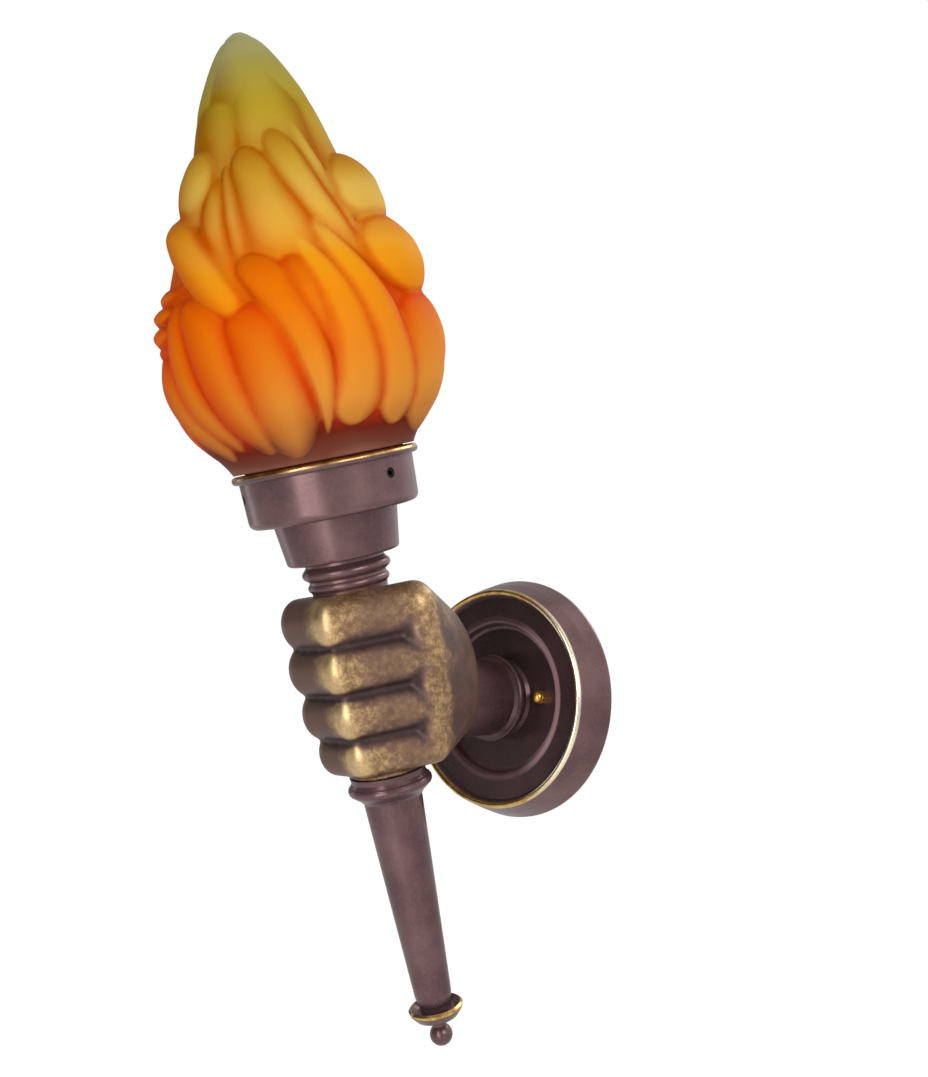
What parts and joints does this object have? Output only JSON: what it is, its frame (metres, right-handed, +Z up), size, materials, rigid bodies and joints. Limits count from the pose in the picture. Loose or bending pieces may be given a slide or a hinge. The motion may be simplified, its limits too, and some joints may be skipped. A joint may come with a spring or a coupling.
{
  "type": "torch wall sconce",
  "caption": "Wall sconce of a closed fist on a round wall plate, gripping a turned torch with a flame-shaped coloured glass shade over a screw-in lamp.",
  "frame": {"origin": "centre of the wall plate, on the wall's surface, at the middle of the wall screw slots", "axes": "+Y into the wall, +Z up, and +X to the right as seen from in front; the torch leans out towards -Y as it rises"},
  "size_m": [0.1434, 0.2443, 0.5144],
  "materials": {
    "brown_metal": "satin brown lacquer with gilt edges",
    "cast_bronze": "antique brass finish on a casting, worn bright on the high parts",
    "zinc_steel": "zinc plated",
    "bare_brass": "bare brass",
    "porcelain": "glazed white",
    "terminal_plastic": "moulded, white",
    "lead_brown": "brown insulation",
    "lead_blue": "blue insulation",
    "lead_earth": "green and yellow insulation",
    "flame_glass": "thick satin glass, shaded from red at the foot to pale green at the tip",
    "lamp_glass": "frosted white",
    "lamp_metal": "plain"
  },
  "bodies": {
    "wall_fixing": {"wall_bracket": "zinc_steel", "bracket_studs": "zinc_steel"},
    "fixture": {"wall_plate": "brown_metal", "arm_sleeve": "brown_metal", "arm_nipple": "zinc_steel", "arm_washer": "zinc_steel", "arm_lock_nut": "zinc_steel", "hand": "cast_bronze", "torch_rod": "zinc_steel", "neck_collar": "brown_metal", "lower_collar": "brown_metal", "handle": "brown_metal", "saucer": "brown_metal", "end_ball": "brown_metal", "socket_cup": "brown_metal", "gallery_cup": "brown_metal", "cup_rivets": "bare_brass", "rod_washer": "zinc_steel", "rod_lock_nut": "zinc_steel", "lampholder_cap": "porcelain", "lampholder_insert": "porcelain", "lampholder_skirt": "porcelain", "lampholder_shell": "bare_brass", "lampholder_contact": "bare_brass", "lampholder_screws": "bare_brass", "terminal_block": "terminal_plastic", "terminal_screws": "bare_brass", "earth_stud": "bare_brass", "earth_nut": "bare_brass", "live_lead": "lead_brown", "neutral_lead": "lead_blue", "earth_lead": "lead_earth"},
    "shade": {"flame_shade": "flame_glass"},
    "lamp": {"lamp_globe": "lamp_glass", "lamp_cap": "lamp_metal", "lamp_contact": "bare_brass"},
    "shade_screw_1": {"shade_screw_1": "zinc_steel"},
    "shade_screw_2": {"shade_screw_2": "zinc_steel"},
    "shade_screw_3": {"shade_screw_3": "zinc_steel"},
    "cap_nut_left": {"cap_nut_left": "bare_brass"},
    "cap_nut_right": {"cap_nut_right": "bare_brass"}
  },
  "joints": [
    {"name": "plate_off", "type": "slide", "parent": "wall_fixing", "child": "fixture", "axis": [0, -1, 0], "range_m": [0, 0.06]},
    {"name": "shade_lift", "type": "slide", "parent": "fixture", "child": "shade", "axis": [0, -0.2807, 0.9598], "range_m": [0, 0.1]},
    {"name": "lamp_unscrew", "type": "slide", "parent": "fixture", "child": "lamp", "axis": [0, -0.2807, 0.9598], "range_m": [0, 0.028]},
    {"name": "shade_screw_1_out", "type": "slide", "parent": "fixture", "child": "shade_screw_1", "axis": [1, 0, 0], "range_m": [0, 0.005]},
    {"name": "shade_screw_2_out", "type": "slide", "parent": "fixture", "child": "shade_screw_2", "axis": [-0.5, 0.8312, 0.2431], "range_m": [0, 0.005]},
    {"name": "shade_screw_3_out", "type": "slide", "parent": "fixture", "child": "shade_screw_3", "axis": [-0.5, -0.8312, -0.2431], "range_m": [0, 0.005]},
    {"name": "cap_nut_left_off", "type": "slide", "parent": "fixture", "child": "cap_nut_left", "axis": [0, -1, 0], "range_m": [0, 0.012]},
    {"name": "cap_nut_right_off", "type": "slide", "parent": "fixture", "child": "cap_nut_right", "axis": [0, -1, 0], "range_m": [0, 0.012]}
  ]
}
